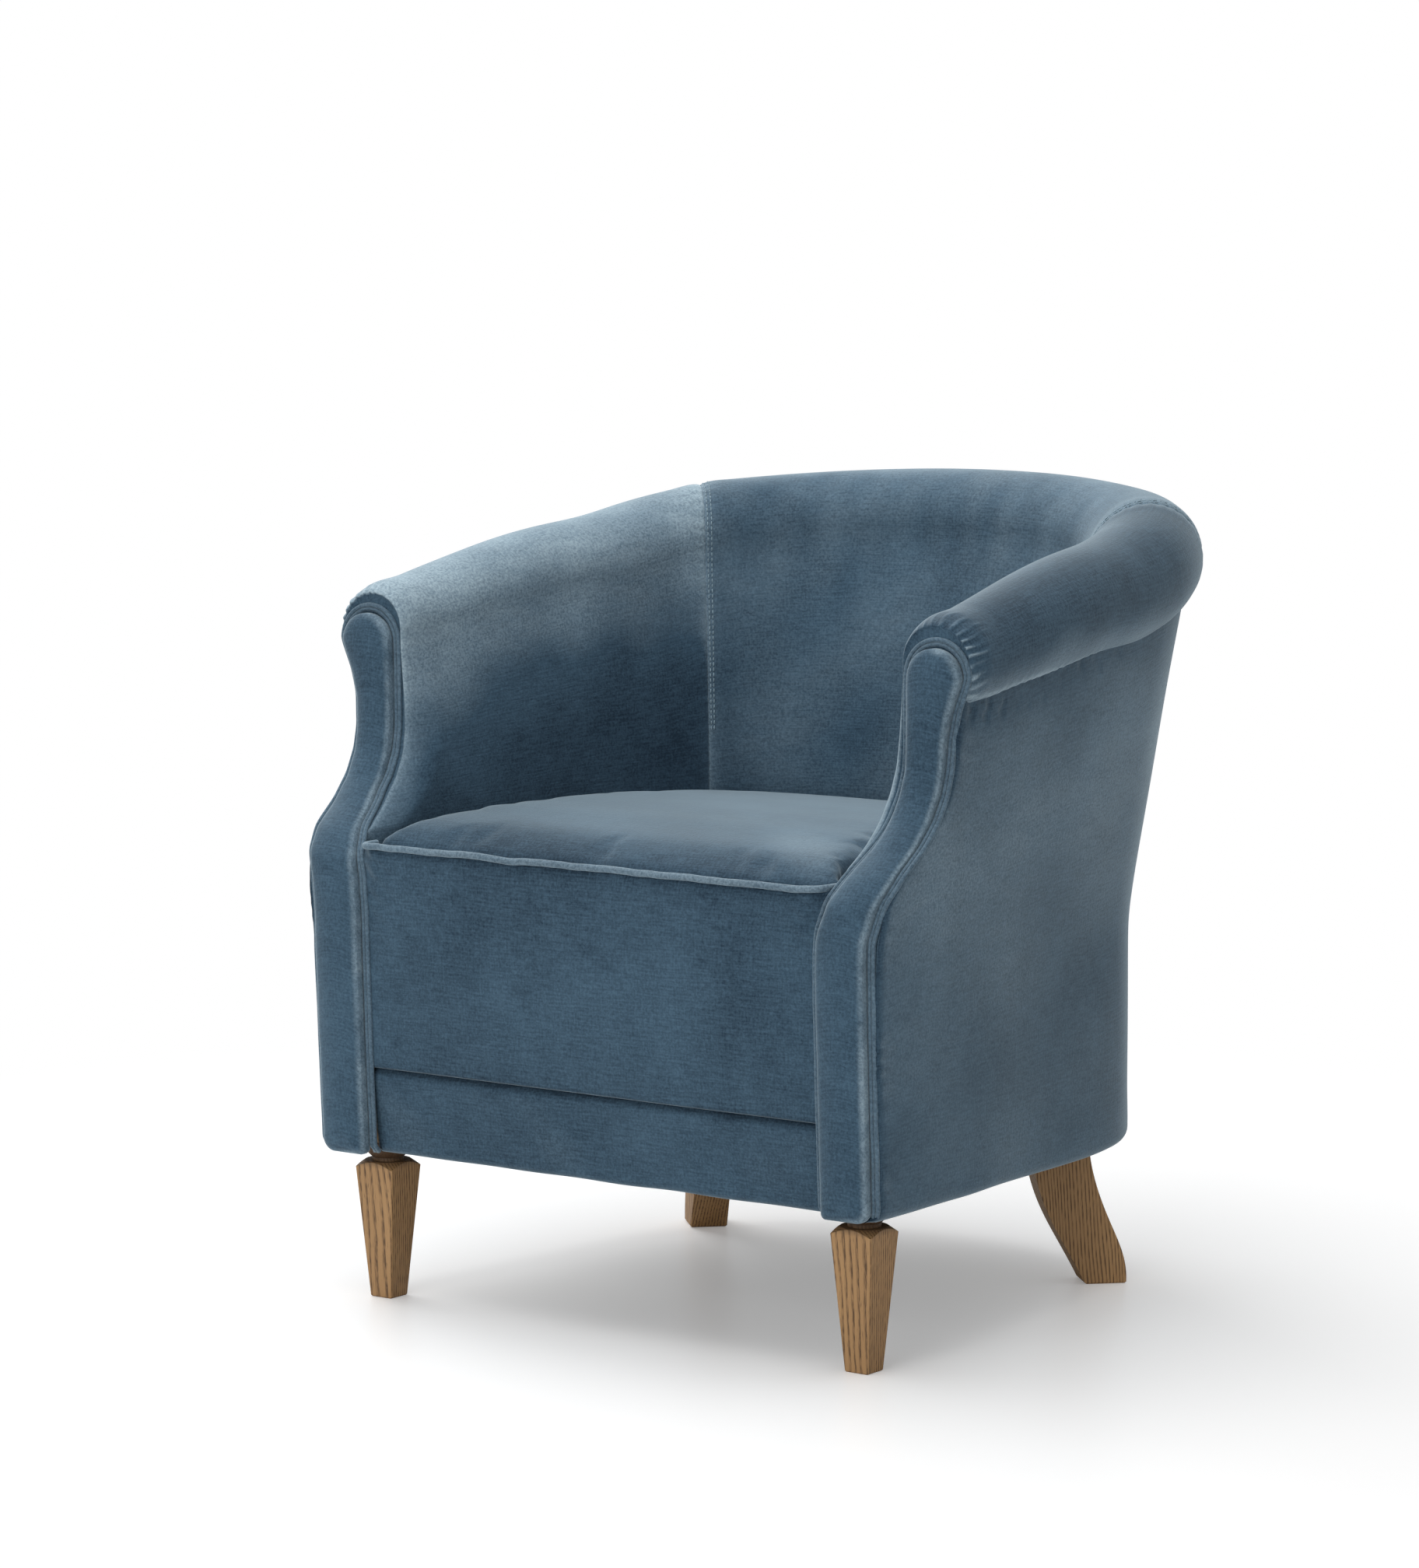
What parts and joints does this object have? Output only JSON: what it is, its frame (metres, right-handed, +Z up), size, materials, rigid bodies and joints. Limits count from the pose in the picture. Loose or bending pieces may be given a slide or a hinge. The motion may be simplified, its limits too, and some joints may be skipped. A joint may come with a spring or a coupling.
{
  "type": "tub chair",
  "caption": "Upholstered velvet tub chair: rolled horseshoe back and arms round a crowned spring seat, piped arm facings, square tapered front legs and sabre rear legs.",
  "frame": {"origin": "on the floor under the middle of the chair's bounding box", "axes": "+Z up, -Y the way the chair faces, +X the right arm seen from the front"},
  "size_m": [0.7344, 0.7094, 0.756],
  "materials": {
    "velvet": "short-pile velvet",
    "oak": "brown-stained oak, matt oil",
    "frame_timber": "planed hardwood",
    "board": "plywood and hardboard",
    "padding": "foam and polyester wadding",
    "webbing": "woven jute",
    "steel": "plain steel",
    "black_cloth": "spun-bonded cloth"
  },
  "bodies": {
    "root": {"front_leg_right": "oak", "front_leg_left": "oak", "rear_leg_right": "oak", "rear_leg_left": "oak", "front_post_right": "frame_timber", "front_post_left": "frame_timber", "rear_post_right": "frame_timber", "rear_post_left": "frame_timber", "side_base_rail_right": "frame_timber", "side_base_rail_left": "frame_timber", "side_seat_rail_right": "frame_timber", "side_seat_rail_left": "frame_timber", "arm_rail_right": "frame_timber", "arm_rail_left": "frame_timber", "arm_tack_rail_right": "frame_timber", "arm_tack_rail_left": "frame_timber", "arm_webbing_right": "webbing", "arm_webbing_left": "webbing", "arm_padding_right": "padding", "arm_padding_left": "padding", "inside_arm_cover_right": "velvet", "inside_arm_cover_left": "velvet", "facing_board_right": "board", "facing_board_left": "board", "facing_pad_right": "velvet", "facing_pad_left": "velvet", "facing_piping_right": "velvet", "facing_piping_left": "velvet", "outside_arm_panel_right": "board", "outside_arm_panel_left": "board", "front_corner_blocks": "frame_timber", "rear_corner_blocks": "frame_timber", "front_leg_bolts": "steel", "front_leg_nuts": "steel", "rear_leg_screws": "steel", "frame_dowels": "frame_timber", "front_base_rail": "frame_timber", "front_seat_rail": "frame_timber", "back_base_rail": "frame_timber", "back_seat_rail": "frame_timber", "back_top_rail": "frame_timber", "back_tack_rail": "frame_timber", "back_stay": "frame_timber", "back_webbing": "webbing", "back_padding": "padding", "inside_back_cover": "velvet", "outside_back_panel": "board", "outside_wadding": "padding", "outside_cover": "velvet", "seat_springs": "steel", "spring_clips": "steel", "seat_hessian": "webbing", "seat_foam": "padding", "seat_wadding": "padding", "seat_cover": "velvet", "seat_welt": "velvet", "front_border_cover": "velvet", "front_border_padding": "padding", "front_rail_cover": "velvet", "dust_cover": "black_cloth"}
  },
  "joints": []
}
